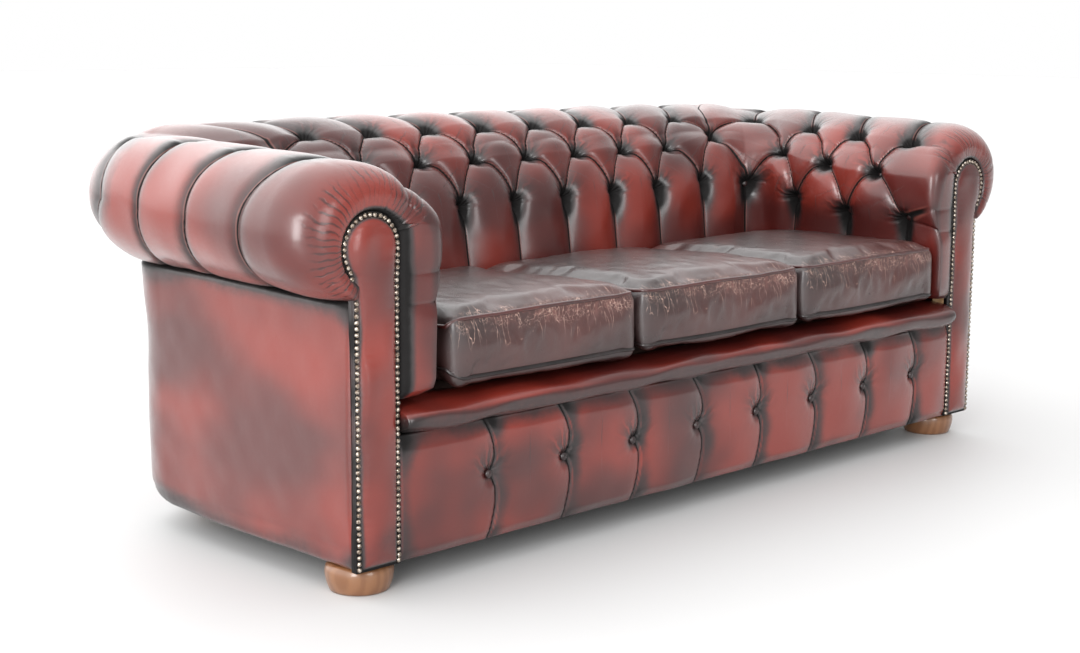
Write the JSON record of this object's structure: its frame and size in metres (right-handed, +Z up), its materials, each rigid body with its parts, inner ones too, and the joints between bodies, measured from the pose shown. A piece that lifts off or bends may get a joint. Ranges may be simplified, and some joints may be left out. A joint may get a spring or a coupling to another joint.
{
  "type": "button-backed leather sofa",
  "caption": "Low scroll-arm sofa in worn oxblood leather: deep-buttoned back and arms of one height, nailed arm fronts, buttoned front border, loose box cushions and bun feet.",
  "frame": {"origin": "on the floor under the middle of the sofa's overall width and depth", "axes": "+X to the right as seen from the front, -Y towards the front, +Z up"},
  "size_m": [2.0376, 0.8045, 0.7409],
  "materials": {
    "oxblood_leather": "antiqued oxblood hide, dark in the folds, glossy on the crests",
    "worn_leather": "dark brown cushion hide, scuffed and cracked pale at the edges",
    "beech": "plain sawn hardwood",
    "foot_wood": "lacquered light brown wood",
    "steel": "spring wire and bolts",
    "nail_metal": "dulled antique nail heads",
    "black_cloth": "thin dusty black cloth"
  },
  "bodies": {
    "root": {"arm_front_post_right": "beech", "arm_front_post_left": "beech", "front_rail": "beech", "back_rail": "beech", "seat_stretcher": "beech", "back_top_rail": "beech", "back_tack_rail": "beech", "side_rail_right": "beech", "corner_post_right": "beech", "arm_top_rail_right": "beech", "arm_tack_rail_right": "beech", "back_upright_right": "beech", "side_rail_left": "beech", "corner_post_left": "beech", "arm_top_rail_left": "beech", "arm_tack_rail_left": "beech", "back_upright_left": "beech", "foot_front_right": "foot_wood", "corner_block_front_right": "beech", "foot_bolt_front_right": "steel", "foot_front_left": "foot_wood", "corner_block_front_left": "beech", "foot_bolt_front_left": "steel", "foot_rear_right": "foot_wood", "corner_block_rear_right": "beech", "foot_bolt_rear_right": "steel", "foot_rear_left": "foot_wood", "corner_block_rear_left": "beech", "foot_bolt_rear_left": "steel", "seat_spring_1": "steel", "seat_spring_2": "steel", "seat_spring_3": "steel", "seat_spring_4": "steel", "seat_spring_5": "steel", "seat_platform": "oxblood_leather", "seat_lip": "oxblood_leather", "arm_pad_right": "oxblood_leather", "arm_pad_left": "oxblood_leather", "back_pad": "oxblood_leather", "outside_arm_right": "oxblood_leather", "outside_arm_left": "oxblood_leather", "outside_back": "oxblood_leather", "arm_facing_right": "oxblood_leather", "arm_facing_left": "oxblood_leather", "nail_trim_right": "nail_metal", "nail_trim_left": "nail_metal", "front_border": "oxblood_leather", "border_button_1": "oxblood_leather", "border_button_2": "oxblood_leather", "border_button_3": "oxblood_leather", "border_button_4": "oxblood_leather", "border_button_5": "oxblood_leather", "border_button_6": "oxblood_leather", "border_button_7": "oxblood_leather", "border_button_8": "oxblood_leather", "cushion_left": "worn_leather", "cushion_middle": "worn_leather", "cushion_right": "worn_leather", "dust_cover": "black_cloth"}
  },
  "joints": []
}
